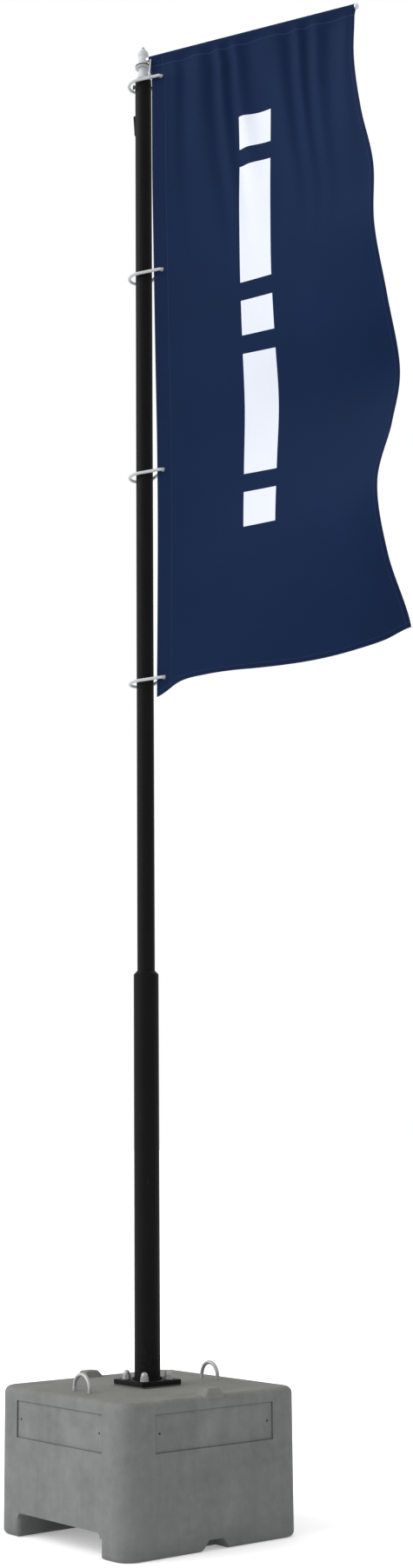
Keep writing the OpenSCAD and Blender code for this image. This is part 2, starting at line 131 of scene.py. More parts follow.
# %% A wire carries a value between nodes
class Wire:
    def __init__(self, finish, socket):
        self.finish, self.socket = finish, socket

    def maths(self, operation, *others):
        return self.finish.node("ShaderNodeMath", {"operation": operation}, [self, *others])

    def __add__(self, other): return self.maths("ADD", other)
    def __radd__(self, other): return self.maths("ADD", other)
    def __mul__(self, other): return self.maths("MULTIPLY", other)
    def __rmul__(self, other): return self.maths("MULTIPLY", other)
    def __sub__(self, other): return self.maths("SUBTRACT", other)
    def __gt__(self, other): return self.maths("GREATER_THAN", other)
    def __lt__(self, other): return self.maths("LESS_THAN", other)
    def __abs__(self): return self.maths("ABSOLUTE")
    def __mod__(self, other): return self.maths("FLOORED_MODULO", other)

    def __rsub__(self, other):
        return self.finish.node("ShaderNodeMath", {"operation": "SUBTRACT"}, [other, self])

    def lowest(self, other): return self.maths("MINIMUM", other)
    def highest(self, other): return self.maths("MAXIMUM", other)
    def sine(self): return self.maths("SINE")

    def fade(self, start, end, low=0.0, high=1.0):
        """Runs from low to high, smoothly, while this value runs from start to end."""
        settings = {"interpolation_type": "SMOOTHSTEP"}
        return self.finish.node("ShaderNodeMapRange", settings, [self, start, end, low, high])


# %% A finish is one material and its graph
class Finish:
    def __init__(self, name, **constants):
        self.material = bpy.data.materials.new(name)
        self.material.use_nodes = True
        self.tree = self.material.node_tree
        self.shader = self.tree.nodes["Principled BSDF"]
        self.places = self.node("ShaderNodeTexCoord", out="Object")
        for socket, value in constants.items():
            self.shader.inputs[socket.replace("_", " ")].default_value = value

    def node(self, kind, settings=None, inputs=(), out=0):
        made = self.tree.nodes.new(kind)
        for key, value in (settings or {}).items():
            setattr(made, key, value)
        pairs = inputs.items() if isinstance(inputs, dict) else enumerate(inputs)
        for key, value in pairs:
            self.join(value, made.inputs[key])
        return Wire(self, made.outputs[out])

    def join(self, value, socket):
        if isinstance(value, Wire):
            self.tree.links.new(value.socket, socket)
        else:
            socket.default_value = value

    def feed(self, **inputs):
        for name, value in inputs.items():
            self.join(value, self.shader.inputs[name.replace("_", " ")])

    def axes(self, vector=None):
        made = self.tree.nodes.new("ShaderNodeSeparateXYZ")
        self.join(vector or self.places, made.inputs[0])
        return [Wire(self, made.outputs[k]) for k in range(3)]

    def stretched(self, scale):
        return self.node("ShaderNodeMapping", {}, {"Vector": self.places, "Scale": scale})

    def noise(self, scale, detail=3.0, rough=0.5, vector=None):
        inputs = {"Vector": vector or self.places, "Scale": scale, "Detail": detail, "Roughness": rough}
        return self.node("ShaderNodeTexNoise", {}, inputs)

    def cells(self, scale, out="Distance"):
        return self.node("ShaderNodeTexVoronoi", {}, {"Vector": self.places, "Scale": scale}, out=out)

    def blend(self, share, first, second):
        """The first colour, turning into the second as the share goes from 0 to 1."""
        first, second = [value if isinstance(value, Wire) else (*value, 1) for value in (first, second)]
        # a Mix node keeps sockets for every data type: these are its factor and its two colours
        return self.node("ShaderNodeMix", {"data_type": "RGBA"}, {0: share, 6: first, 7: second}, out=2)

    def tinted(self, colour, shade):
        """The colour, made lighter or darker by a value round 1."""
        grey = self.node("ShaderNodeCombineXYZ", {}, [shade, shade, shade])
        return self.node("ShaderNodeVectorMath", {"operation": "MULTIPLY"}, [colour, grey])

    def emboss(self, height, depth, strength=1.0):
        """Raises the surface by height times depth metres."""
        inputs = {"Height": height, "Distance": depth, "Strength": strength}
        self.feed(Normal=self.node("ShaderNodeBump", {}, inputs))


print("shader helpers are ready")

# %% [markdown]
# ## Concrete
# Cast concrete is grey and matt. The cement paste is mottled in patches a hand wide, the sides
# carry faint upright streaks from the mould, fine sand shows close by, and trapped air leaves
# small round pits. Dust from the ground darkens the lowest ten centimetres. A thin line of painted
# shade darkens the border where a sign recess meets the face, and a painted shadow darkens the low
# bed under the foot plate. Every pattern reads the block's own coordinates.

# %% Make the concrete
RECESS_HALF = (0.300, 0.0735)
RECESS_MIDDLE = 0.467
RECESS_FACE = 0.436

concrete = Finish("concrete_finish", Specular_IOR_Level=0.3)
x, y, z = concrete.axes()
across = abs(x).lowest(abs(y))
outward = abs(x).highest(abs(y))

patches = concrete.noise(5.0, 4.0, 0.6)
mottle = concrete.noise(24.0, 5.0, 0.65)
streaks = concrete.noise(1.0, 4.0, 0.65, concrete.stretched((22, 22, 2.0)))
sand = concrete.noise(420.0, 2.0, 0.6)
on_side = outward.fade(0.40, 0.44)
on_top = z.fade(0.565, 0.592)
shade = 0.40 + patches * 0.52 + mottle * 0.34 + (streaks - 0.5) * on_side * 0.24 + sand * 0.16

pit_size = concrete.node("ShaderNodeSeparateColor", {}, [concrete.cells(38.0, "Color")])
pit = concrete.cells(38.0).fade(0.03, 0.10, 1.0, 0.0) * (pit_size > 0.86)
fine_pit = concrete.cells(150.0).fade(0.10, 0.26, 1.0, 0.0) * (concrete.noise(9.0) > 0.56)

edge_gap = (across - RECESS_HALF[0]).highest(abs(z - RECESS_MIDDLE) - RECESS_HALF[1])
# painted shade: a thin dark line round each sign recess's border, where its walls fall in shade
recess_shade_line = edge_gap.fade(-0.0050, -0.0002) * edge_gap.fade(0.0002, 0.0022, 1.0, 0.0)
recess_shade_line = recess_shade_line * (outward > RECESS_FACE)
wiped = concrete.noise(6.0, 2.0, 0.4).fade(0.48, 0.72) * (edge_gap < -0.006)
wiped = wiped * (outward > RECESS_FACE)
splash = z.fade(0.0, 0.10, 1.0, 0.0) * (0.4 + patches)
# painted shadow: the sides of the low bed under the foot plate are darkened like a shadow gap
bed_shadow = z.fade(0.5902, 0.5912) * (outward < 0.12)
# air pits, dust near the ground, and the painted shade at the recess borders and round the bed all darken
# the paste
grime_and_shade = (pit * 0.45 + fine_pit * 0.22 + recess_shade_line * 0.35 + splash * 0.14 + bed_shadow * 0.75).lowest(0.8)

side_paste, top_paste = (0.126, 0.131, 0.128), (0.141, 0.142, 0.128)
paste = concrete.tinted(concrete.blend(on_top, side_paste, top_paste), shade + wiped * 0.14)
concrete.feed(Base_Color=concrete.blend(grime_and_shade, paste, (0.045, 0.046, 0.042)))
concrete.feed(Roughness=0.82 + sand * 0.12 - pit * 0.05)
concrete.emboss(mottle * 0.25 + sand * 0.12 + patches * 0.3 - pit * 0.9 - fine_pit * 0.4, 0.0016, 0.7)
print("concrete nodes:", len(concrete.tree.nodes))

# %% [markdown]
# ## Metals
# The loops, anchors and washers are dipped in zinc, which sets in crystals a few millimetres wide,
# each at its own slight grey. The zinc dulls unevenly. The mast is powder coated: satin black,
# with the fine orange peel that powder leaves, a little dust low down and a few pale scuffs.

# %% Make the zinc and the other bare metals
zinc = Finish("zinc_finish", Metallic=0.6)
crystal = zinc.node("ShaderNodeSeparateColor", {}, [zinc.cells(210.0, "Color")])
dulled = zinc.noise(34.0, 4.0, 0.6)
zinc.feed(Base_Color=zinc.tinted((0.30, 0.305, 0.31), 0.82 + crystal * 0.18 + dulled * 0.16))
zinc.feed(Roughness=0.34 + dulled * 0.22 + crystal * 0.08)
zinc.emboss(zinc.noise(160.0, 3.0), 0.0004, 0.5)

dull_steel = Finish("dull_steel_finish", Metallic=0.9)
dull_steel.feed(Base_Color=dull_steel.tinted((0.16, 0.16, 0.165), 0.8 + dull_steel.noise(120.0) * 0.4))
dull_steel.feed(Roughness=0.38 + dull_steel.noise(60.0) * 0.2)
dull_steel.emboss(dull_steel.noise(500.0), 0.0002)

aluminium = Finish("boom_aluminium_finish", Metallic=1.0)
drawn = aluminium.noise(1.0, 3.0, 0.5, aluminium.stretched((6, 300, 300)))
aluminium.feed(Base_Color=aluminium.tinted((0.78, 0.79, 0.81), 0.9 + drawn * 0.15))
aluminium.feed(Roughness=0.28 + drawn * 0.2)
print("bare metals are ready")

# %% Make the black powder coat
powder = Finish("black_powder_finish", Specular_IOR_Level=0.045)
x, y, z = powder.axes()
peel = powder.noise(520.0, 2.0, 0.4)
cloudy = powder.noise(7.0, 4.0, 0.6)
scuff = (powder.noise(1.0, 2.0, 0.5, powder.stretched((90, 90, 9))) > 0.70) * (cloudy > 0.56)
dust = z.fade(0.58, 0.95, 1.0, 0.0) * powder.noise(60.0, 4.0, 0.7).fade(0.35, 0.75)
black = powder.blend(dust * 0.04 + scuff * 0.04, (0.0041, 0.0041, 0.0045), (0.16, 0.155, 0.14))
powder.feed(Base_Color=powder.tinted(black, 0.75 + cloudy * 0.5))
powder.feed(Roughness=0.40 + cloudy * 0.14 + dust * 0.25 + scuff * 0.12)
powder.emboss(peel, 0.00025, 0.6)
print("powder coat nodes:", len(powder.tree.nodes))

# %% [markdown]
# ## Plastics
# The head, the rings and the end caps are moulded plastic. White ones are satin, a little bluish,
# and years outdoors leave a faint grey bloom. The dark rim, plugs and knob are matt and grained.


# %% Make the plastics
def moulded(name, colour, rough, bloom, grain_depth, specular=0.5):
    """A moulded plastic: an even colour with a faint bloom and a fine mould grain."""
    finish = Finish(name, Specular_IOR_Level=specular)
    cloudy = finish.noise(40.0, 4.0, 0.6)
    grain = finish.noise(900.0, 2.0, 0.5)
    handled = finish.noise(12.0, 3.0, 0.6)
    dulled = finish.blend(cloudy.fade(0.45, 0.8) * bloom, colour, (0.33, 0.33, 0.31))
    finish.feed(Base_Color=finish.tinted(dulled, 0.94 + handled * 0.1))
    finish.feed(Roughness=rough + cloudy * 0.12)
    finish.emboss(grain * 0.5 + cloudy * 0.5, grain_depth)
    return finish


white_plastic = moulded("white_plastic_finish", (0.350, 0.357, 0.376), 0.45, 0.14, 0.00012)
cap_plastic = moulded("cap_plastic_finish", (0.36, 0.39, 0.46), 0.36, 0.20, 0.00012)
black_plastic = moulded("black_plastic_finish", (0.050, 0.050, 0.053), 0.42, 0.06, 0.0002, 0.3)
dark_rubber = moulded("dark_rubber_finish", (0.050, 0.054, 0.048), 0.62, 0.10, 0.0003, 0.3)
plug_plastic = moulded("plug_plastic_finish", (0.014, 0.014, 0.015), 0.55, 0.10, 0.0002, 0.3)
print("plastics: 5")

# %% [markdown]
# ## Flag cloth finish
# The flag is knitted polyester, dyed navy, with a light sheen. The finish reads the cloth's own UV
# map, laid out in metres of flat cloth: U runs from the edge at the mast to the free edge, V from
# the hem's seam downwards. So the knit, the stitches and the printed bars stay on the threads,
# however the cloth waves. Stitches are dashes: a thin line, chopped by a repeating share of its
# length. The print is a plain column of white squares and bars, on a second UV map that measures
# from the mast and from the flag's top, so that the column hangs upright.

# %% Sizes of the flat cloth
FLAG_WIDTH = 1.18
FLAG_DROP = 3.07
BAND_WIDTH = 0.074
SLEEVE_DEPTH = 0.030
PRINT_LEFT, PRINT_WIDTH, PRINT_TOP, PRINT_END = 0.500, 0.160, 0.405, 2.345
SQUARE, PRINT_GAP, PRINT_REPEAT = 0.160, 0.085, 0.890
STITCH_LENGTH, STITCH_REPEAT, THREAD_HALF = 0.0030, 0.0042, 0.0009
WALE_WIDTH, COURSE_HEIGHT = 0.0016, 0.0013

# %% Make the flag cloth's finish
cloth = Finish("flag_cloth_finish", Sheen_Weight=0.01, Sheen_Roughness=0.5, Specular_IOR_Level=0.03)
uv = cloth.node("ShaderNodeUVMap", {"uv_map": "cloth"})
u, v, _ = cloth.axes(uv)


def stitch_line(distance, along):
    """A row of stitches where the distance from the seam is nearly nothing."""
    return (abs(distance) < THREAD_HALF) * ((along % STITCH_REPEAT) < STITCH_LENGTH)


print_uv = cloth.node("ShaderNodeUVMap", {"uv_map": "print"})
print_u, print_v, _ = cloth.axes(print_uv)
in_column = (print_u > PRINT_LEFT) * (print_u < PRINT_LEFT + PRINT_WIDTH)
in_column = in_column * (print_v > PRINT_TOP) * (print_v < PRINT_END)
step = (print_v - PRINT_TOP) % PRINT_REPEAT
in_square = step < SQUARE
in_bar = (step > SQUARE + PRINT_GAP) * (step < PRINT_REPEAT - PRINT_GAP)
printed = in_column * in_square.highest(in_bar)

seams = stitch_line(v, u)
for seam_u in (0.004, BAND_WIDTH - 0.004, FLAG_WIDTH - 0.004, FLAG_WIDTH - 0.020):
    seams = seams + stitch_line(u - seam_u, v)
for seam_v in (FLAG_DROP - 0.022, FLAG_DROP - 0.004):
    seams = seams + stitch_line(v - seam_v, u)
seams = seams.lowest(1.0)
hemmed = (u < BAND_WIDTH).highest(u > FLAG_WIDTH - 0.022).highest(v > FLAG_DROP - 0.024)

wale = (u * (2 * math.pi / WALE_WIDTH)).sine()
course = (v * (2 * math.pi / COURSE_HEIGHT) + wale * 1.2).sine()
knit = wale * 0.5 + course * 0.5
faded = cloth.noise(3.0, 3.0, 0.5)
# the navy dye, with the doubled band and hems painted a little darker as painted shade
dyed_and_hem_shade = cloth.tinted((0.0052, 0.0130, 0.0415), 0.86 + faded * 0.22 - hemmed * 0.10 + knit * 0.05)
white_ink = cloth.tinted((0.52, 0.54, 0.60), 0.95 + faded * 0.08 + knit * 0.02)
base = cloth.blend(printed, dyed_and_hem_shade, white_ink)
cloth.feed(Base_Color=cloth.blend(seams * 0.45, base, (0.035, 0.055, 0.115)))
cloth.feed(Roughness=0.74 + knit * 0.06 - printed * 0.08)
cloth.emboss(knit * 0.35 + hemmed * 2.0 - seams * 1.6, 0.00022, 0.7)
print("cloth nodes:", len(cloth.tree.nodes))

# %% [markdown]
# ## Put the finishes on the CAD solids
# Each solid names the material slot it is made of, and each slot gets one finish.

# %% Dress the solids
FINISHES = {
    "concrete": concrete, "galvanised_steel": zinc, "plug_plastic": plug_plastic,
    "black_paint": powder, "black_plastic": black_plastic, "white_plastic": white_plastic,
    "dark_rubber": dark_rubber, "dark_steel": dull_steel, "boom_aluminium": aluminium,
    "cap_plastic": cap_plastic, "flag_cloth": cloth,
}
slot_of = {part["node"]: part["material_slot"] for part in frame["record"]["subparts"]}
for name, solid in solids.items():
    solid.data.materials.clear()
    solid.data.materials.append(FINISHES[slot_of[name]].material)
print("dressed", len(solids), "solids in", len(FINISHES), "finishes")

# %% [markdown]
# ## The head's own frame
# The boom doesn't point along X, so the flag and the pieces on the boom are easier to place by
# three distances: along the boom, in front of it, and up. The boom's own box gives its direction.

# %% Find the head's frame
boom_low, boom_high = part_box("boom_tube")
boom_middle = (boom_low + boom_high) / 2
BOOM_TURN = math.atan2(boom_middle.y, boom_middle.x)
BOOM_Z = boom_middle.z
BOOM_RADIUS = boom_high.z - BOOM_Z
half_reach = (boom_high.x - boom_middle.x - BOOM_RADIUS * math.sin(BOOM_TURN)) / math.cos(BOOM_TURN)
BOOM_END = math.hypot(boom_middle.x, boom_middle.y) + half_reach
ALONG = Vector((math.cos(BOOM_TURN), math.sin(BOOM_TURN), 0))
FRONT = Vector((math.sin(BOOM_TURN), -math.cos(BOOM_TURN), 0))
UP = Vector((0, 0, 1))


def head_point(along, front, height):
    return ALONG * along + FRONT * front + UP * height


print("boom turned", round(math.degrees(BOOM_TURN), 1), "degrees, end at", round(BOOM_END, 4),
      "height", round(BOOM_Z, 4))

# %% [markdown]
# ## The rings' shape
# A ring is a big bend behind the mast and a small one at the flag, joined by two straight sides.
# It hangs from the flag, so it is tilted up towards it, and it is turned a little to the front of
# the boom. Each ring's own box tells how high it sits.

# %% Find the rings
RING_BAR = 0.0069
BACK_ALONG, BACK_RADIUS = -0.015, 0.056
TIP_ALONG, TIP_RADIUS = 0.095, 0.012
RING_TILT, RING_TURN = math.radians(5.1), math.radians(13.9)
RING_TAPER = math.asin((BACK_RADIUS - TIP_RADIUS) / (TIP_ALONG - BACK_ALONG))
RING_END = TIP_ALONG + TIP_RADIUS
ring_frames, ring_tips = [], []
for k in (1, 2, 3, 4):
    ring_low, ring_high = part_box(f"flag_ring_{k}")
    rise = (RING_END + BACK_ALONG - BACK_RADIUS) / 2 * math.sin(RING_TILT)
    centre = Matrix.Translation((0, 0, (ring_low.z + ring_high.z) / 2 - rise))
    ring_frame = centre @ Matrix.Rotation(-RING_TURN, 4, "Z") @ Matrix.Rotation(-RING_TILT, 4, "Y")
    ring_frames.append(ring_frame)
    ring_tips.append(ring_frame @ Vector((RING_END, 0, 0)))
print("ring tips:", [tuple(round(c, 4) for c in tip) for tip in ring_tips])

# %% [markdown]
# ## The flag's shape
# A breeze fills the flag. Its top is held by the boom and its edge by the rings, so it moves little
# there and most at the free edge, where it waves twice from top to bottom. Short lists give both
# edges' reach from the mast and the free edge's sway at every tenth of the height, and how far the
# bottom edge lifts at every tenth of the width. A smooth curve runs through each list. The doubled
# band along the mast stays flat. The hem is a little wider than the boom, so the cloth under it
# hangs in small pleats that die out lower down.

# %% Describe the cloth's surface
NEAR_REACH = (0.056, 0.056, 0.0565, 0.0605, 0.0645, 0.069, 0.074, 0.0765, 0.0755, 0.0725, 0.069)
FREE_REACH = (1.058, 1.082, 1.132, 1.196, 1.196, 1.213, 1.219, 1.218, 1.177, 1.183, 1.225)
FREE_SWAY = (0, 0.090, 0.155, 0.195, 0.200, 0.105, -0.020, 0.100, 0.190, 0.095, -0.060)
BOTTOM_LIFT = (-0.008, 0.053, 0.072, 0.079, 0.079, 0.081, 0.087, 0.100, 0.121, 0.149, 0.194)
FLAG_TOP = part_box("flag")[1].z
FLAG_LENGTH = 3.054
BAND_FRONT = 0.024


def ease(share):
    share = min(max(share, 0.0), 1.0)
    return (1 - math.cos(math.pi * share)) / 2


def curve(values, share):
    """A smooth curve through evenly spaced values, read at a share from 0 to 1."""
    last = len(values) - 1
    i = min(int(share * last), last - 1)
    f = share * last - i
    a, b = values[i], values[i + 1]
    slope_a = (b - values[max(i - 1, 0)]) / 2
    slope_b = (values[min(i + 2, last)] - a) / 2
    rise = 3 * (b - a) - 2 * slope_a - slope_b
    return a + f * slope_a + f * f * rise + f ** 3 * (2 * (a - b) + slope_a + slope_b)


def mast_edge(t):
    """How far the cloth's edge is from the mast's axis, at the share t of the flag's height."""
    return curve(NEAR_REACH, t) - 0.027 * (1 - ease(t / 0.04))


def pleats(u, t):
    held = ease((u - 0.08) / 0.08) * ease((1 - u) / 0.06)
    depth = 0.0115 * (0.3 + 0.7 * ease(t / 0.02)) * (1 - ease(t / 0.42))
    turns = 9 * u + 0.35 * math.sin(5 * u + 6 * t) + 0.25 * math.sin(17 * u)
    return depth * held * math.sin(2 * math.pi * turns)


def cloth_place(u, t):
    """The cloth's place at the share u of its width and t of its height: along, front, up."""
    seam = mast_edge(t) + BAND_WIDTH
    across = (u * FLAG_WIDTH - BAND_WIDTH) / (FLAG_WIDTH - BAND_WIDTH)
    along = mast_edge(t) + u * FLAG_WIDTH if across < 0 else seam + across * (curve(FREE_REACH, t) - seam)
    across = max(across, 0)
    front = BAND_FRONT * ease(t / 0.04) * (1 - across) ** 3 + curve(FREE_SWAY, t) * across ** 1.7
    return along, front + pleats(u, t), FLAG_TOP - t * (FLAG_LENGTH - curve(BOTTOM_LIFT, u))


print("free corner at", [round(c, 3) for c in cloth_place(1, 1)])

# %% [markdown]
# ## The flag's sleeve, eyelets and mesh
# The top edge is folded round the boom and stitched to itself, as a sleeve: seen from the end it
# is a drop, round over the boom and narrowing to the seam. So the first rows of the mesh run up
# behind the boom, over it and down its front, and the other rows go on downwards. Each ring's tip
# goes through a hole in the band: the grid's eight points round it move onto a circle, and the
# four faces inside are dropped.

# %% Build the flag's grid
BAND_COLUMNS, OPEN_COLUMNS, SLEEVE_ROWS, HANG_ROWS = 12, 116, 18, 296
SEAM_T = SLEEVE_DEPTH / FLAG_LENGTH
SLEEVE_RADIUS = 0.0125
SLEEVE_GIRTH = 0.11
SEAM_SHARE = 0.12
HOLE_RADIUS = 0.0100
NEIGHBOURS = [(down, over) for down in (-1, 0, 1) for over in (-1, 0, 1) if down or over]


def sleeve_place(u, share):
    """The drop round the boom: share 0 is the seam behind, 1 the seam in front."""
    along, seam_front, seam_height = cloth_place(u, SEAM_T)
    if SEAM_SHARE < share < 1 - SEAM_SHARE:
        swell = SLEEVE_RADIUS + 0.0001 * math.sin(2 * math.pi * 23 * u + 5 * share)
        turn = math.radians(-30 + 240 * (share - SEAM_SHARE) / (1 - 2 * SEAM_SHARE))
        return along, -swell * math.cos(turn), BOOM_Z + swell * math.sin(turn)
    near_boom = min(share, 1 - share) / SEAM_SHARE
    side = -1 if share < 0.5 else 1
    low_front, low_height = side * SLEEVE_RADIUS * math.cos(math.radians(-30)), BOOM_Z - SLEEVE_RADIUS / 2
    front = seam_front + side * 0.0008 + (low_front - seam_front - side * 0.0008) * near_boom
    return along, front, seam_height + (low_height - seam_height) * near_boom


columns = [BAND_WIDTH / FLAG_WIDTH * k / BAND_COLUMNS for k in range(BAND_COLUMNS)]
columns += [(BAND_WIDTH + (FLAG_WIDTH - BAND_WIDTH) * k / OPEN_COLUMNS) / FLAG_WIDTH
            for k in range(OPEN_COLUMNS + 1)]
places, flat_places = [], []
for row in range(SLEEVE_ROWS + HANG_ROWS + 1):
    for u in columns:
        if row < SLEEVE_ROWS:
            spot = sleeve_place(u, row / SLEEVE_ROWS)
            flat_v = -SLEEVE_GIRTH * (1 - row / SLEEVE_ROWS)
        else:
            t = SEAM_T + (1 - SEAM_T) * (row - SLEEVE_ROWS) / HANG_ROWS
            spot = cloth_place(u, t)
            flat_v = (t - SEAM_T) * FLAG_DROP / (1 - SEAM_T)
        places.append(spot)
        flat_places.append((u * FLAG_WIDTH, flat_v))

row_length = len(columns)
hole_points = set()
for tip in ring_tips:
    hanging = range(SLEEVE_ROWS * row_length, len(places))
    middle = min(hanging, key=lambda k: math.hypot(places[k][0] - tip[0], places[k][2] - tip[2]))
    hole_points.add(middle)
    for down, over in NEIGHBOURS:
        turn = math.atan2(-down, over)
        near = middle + down * row_length + over
        places[near] = (tip[0] + HOLE_RADIUS * math.cos(turn), places[near][1],
                        tip[2] + HOLE_RADIUS * math.sin(turn))

faces = []
for row in range(SLEEVE_ROWS + HANG_ROWS):
    for k in range(row_length - 1):
        a = row * row_length + k
        corners = (a, a + row_length, a + row_length + 1, a + 1)
        if not hole_points.intersection(corners):
            faces.append(corners)
print("flag grid:", len(places), "points,", len(faces), "faces")


# %% Make the flag piece
def fresh(piece=None):
    """Leaves edit mode and deselects everything, or everything but one piece."""
    if bpy.context.object and bpy.context.object.mode != "OBJECT":
        bpy.ops.object.mode_set(mode="OBJECT")
    bpy.ops.object.select_all(action="DESELECT")
    if piece:
        piece.select_set(True)
        bpy.context.view_layer.objects.active = piece


def edit_all():
    """Goes into edit mode with everything selected."""
    bpy.ops.object.mode_set(mode="EDIT")
    bpy.ops.mesh.select_all(action="SELECT")


def cloth_piece(name, spots, faces, flat, thickness, finish):
    """A thin sheet from places in the head's frame, with its flat layout as a UV map in metres.
    The print's map measures along the boom from the mast's axis, and down from the flag's top."""
    mesh = bpy.data.meshes.new(name)
    mesh.from_pydata([head_point(*spot) for spot in spots], [], faces)
    layer = mesh.uv_layers.new(name="cloth")
    print_layer = mesh.uv_layers.new(name="print")
    for loop in mesh.loops:
        layer.data[loop.index].uv = flat[loop.vertex_index]
        along, _, height = spots[loop.vertex_index]
        print_layer.data[loop.index].uv = (along, FLAG_TOP - height)
    mesh.polygons.foreach_set("use_smooth", [True] * len(mesh.polygons))
    piece = bpy.data.objects.new(name, mesh)
    bpy.context.scene.collection.objects.link(piece)
    fresh(piece)
    edit_all()
    bpy.ops.mesh.delete_loose(use_verts=True, use_edges=False, use_faces=False)
    bpy.ops.object.mode_set(mode="OBJECT")
    wall = piece.modifiers.new("thickness", "SOLIDIFY")
    wall.thickness, wall.offset = thickness, 0
    bpy.ops.object.modifier_apply(modifier=wall.name)
    piece.data.materials.append(finish.material)
    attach(piece, "turning_head")
    print(name, len(piece.data.polygons), "faces")
    return piece


SHEET_THICKNESS = 0.0005
flag_sheet = cloth_piece("flag_sheet", places, faces, flat_places, SHEET_THICKNESS, cloth)
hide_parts("flag", "flag_band", "flag_hem")

# %% [markdown]
# ## Helpers for modelling
# Most of the small pieces are made as by hand: add a primitive at its size and place, go into edit
# mode, and extrude, inset, bevel or spin. An operator acts on all that is selected, so everything
# is deselected before a primitive is added, and a helper then picks faces or edges by a rule.


# %% Settle, copy, join and soften
def settle():
    """Bakes the place, turn and scale of the active piece into its mesh."""
    bpy.ops.object.transform_apply(location=True, rotation=True, scale=True)


def own_copy(piece):
    """A copy with its own mesh."""
    copy = piece.copy()
    copy.data = piece.data.copy()
    bpy.context.scene.collection.objects.link(copy)
    return copy


def join_up(pieces):
    """Joins all the pieces into the first one."""
    fresh(pieces[0])
    for each in pieces:
        each.select_set(True)
    bpy.ops.object.join()


def soften_edges(piece, width):
    """Leaves edit mode and rounds every edge that is sharper than 30 degrees."""
    bpy.ops.object.mode_set(mode="OBJECT")
    soften = piece.modifiers.new("soft_edges", "BEVEL")
    soften.width, soften.segments, soften.limit_method = width, 2, "ANGLE"
    bpy.ops.object.modifier_apply(modifier=soften.name)


# %% Pick and finish
def pick(piece, rule, kind="FACE"):
    """Goes into edit mode with what passes the rule selected, and counts it. The rule gets a
    face's middle and normal, or an edge's two ends."""
    bpy.context.view_layer.objects.active = piece
    if bpy.context.object.mode != "EDIT":
        bpy.ops.object.mode_set(mode="EDIT")
    bpy.ops.mesh.select_mode(type=kind)
    bpy.ops.mesh.select_all(action="DESELECT")
    bpy.ops.object.mode_set(mode="OBJECT")
    mesh = piece.data
    count = 0
    for part in (mesh.polygons if kind == "FACE" else mesh.edges):
        if kind == "FACE":
            part.select = bool(rule(part.center, part.normal))
        else:
            part.select = bool(rule(*[mesh.vertices[k].co for k in part.vertices]))
        count += part.select
    bpy.ops.object.mode_set(mode="EDIT")
    return count


def done(piece, name, finish, body, replaced=(), angle=35):
    """Bakes the piece's place into its mesh, smooths it, dresses it and puts it on its body."""
    fresh(piece)
    settle()
    bpy.ops.object.shade_smooth_by_angle(angle=math.radians(angle))
    piece.name = piece.data.name = name
    piece.data.materials.clear()
    piece.data.materials.append(finish.material)
    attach(piece, body)
    if replaced:
        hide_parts(*replaced)
    print(name, len(piece.data.polygons), "faces")
    return piece


# %% Draw and turn outlines
def drawn(points, edges):
    """A piece that is only points and the edges between them."""
    fresh()
    bpy.ops.mesh.primitive_plane_add(size=1)
    piece = bpy.context.object
    edit_all()
    bpy.ops.mesh.delete(type="VERT")
    bpy.ops.object.mode_set(mode="OBJECT")
    piece.data.from_pydata(points, edges, [])
    return piece


def lathe(points, steps=96):
    """Spins an outline of (radius, height) pairs round Z and closes the poles."""
    piece = drawn([(radius, 0, height) for radius, height in points],
                  [(k, k + 1) for k in range(len(points) - 1)])
    edit_all()
    bpy.ops.mesh.spin(steps=steps, angle=2 * math.pi, center=(0, 0, 0), axis=(0, 0, 1))
    bpy.ops.mesh.select_all(action="SELECT")
    bpy.ops.mesh.remove_doubles(threshold=0.00001)
    bpy.ops.mesh.normals_make_consistent(inside=False)
    bpy.ops.object.mode_set(mode="OBJECT")
    return piece


def rounded(points, radius, steps=3):
    """Rounds the inner corners of an outline."""
    out = [points[0]]
    for before, corner, after in zip(points, points[1:], points[2:]):
        a, b, c = Vector(before), Vector(corner), Vector(after)
        reach = min(radius, (a - b).length / 2, (c - b).length / 2)
        start, end = b + (a - b).normalized() * reach, b + (c - b).normalized() * reach
        for k in range(steps + 1):
            share = k / steps
            spot = start * (1 - share) ** 2 + b * 2 * share * (1 - share) + end * share ** 2
            out.append(tuple(spot))
    out.append(points[-1])
    return out


def turned_to(piece, matrix):
    """Moves a piece's mesh by a matrix."""
    piece.data.transform(matrix)
    piece.data.update()


HEAD_FRAME = Matrix((ALONG, -FRONT, UP)).transposed().to_4x4()
print("modelling helpers are ready")

# %% [markdown]
# ## Mast top and head
# Real head parts are turned or moulded, so none has a knife-sharp edge. A lathe outline with
# rounded corners, spun round the mast's axis, gives each its edge. The collar plugs the mast's
# top and sweeps up into the post, which tapers to the turning disc.

# %% Turn the collar and the post
collar_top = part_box("mast_top_collar")[1].z
disc_low, disc_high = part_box("turning_disc")
tube_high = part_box("upper_mast_tube")[1]
mast_top, mast_radius = tube_high.z, tube_high.x
FOOT_RADIUS, POST_RADIUS = 0.0255, 0.0215

outline = [(0, mast_top - 0.018), (mast_radius - 0.0035, mast_top - 0.018),
           (mast_radius - 0.0035, mast_top + 0.0002), (mast_radius - 0.0002, mast_top + 0.0002),
           (mast_radius - 0.0002, mast_top + 0.0030), (0.0330, mast_top + 0.0090),
           (0.0285, mast_top + 0.0170), (FOOT_RADIUS, collar_top), (POST_RADIUS, disc_low.z - 0.0040),
           (POST_RADIUS, disc_low.z - 0.0006), (0.012, disc_low.z - 0.0006)]
collar = lathe(rounded(outline, 0.0040, 5) + [(0, disc_low.z - 0.0006)])
done(collar, "post_and_collar", white_plastic, "mast",
     ("mast_top_collar", "head_post"))

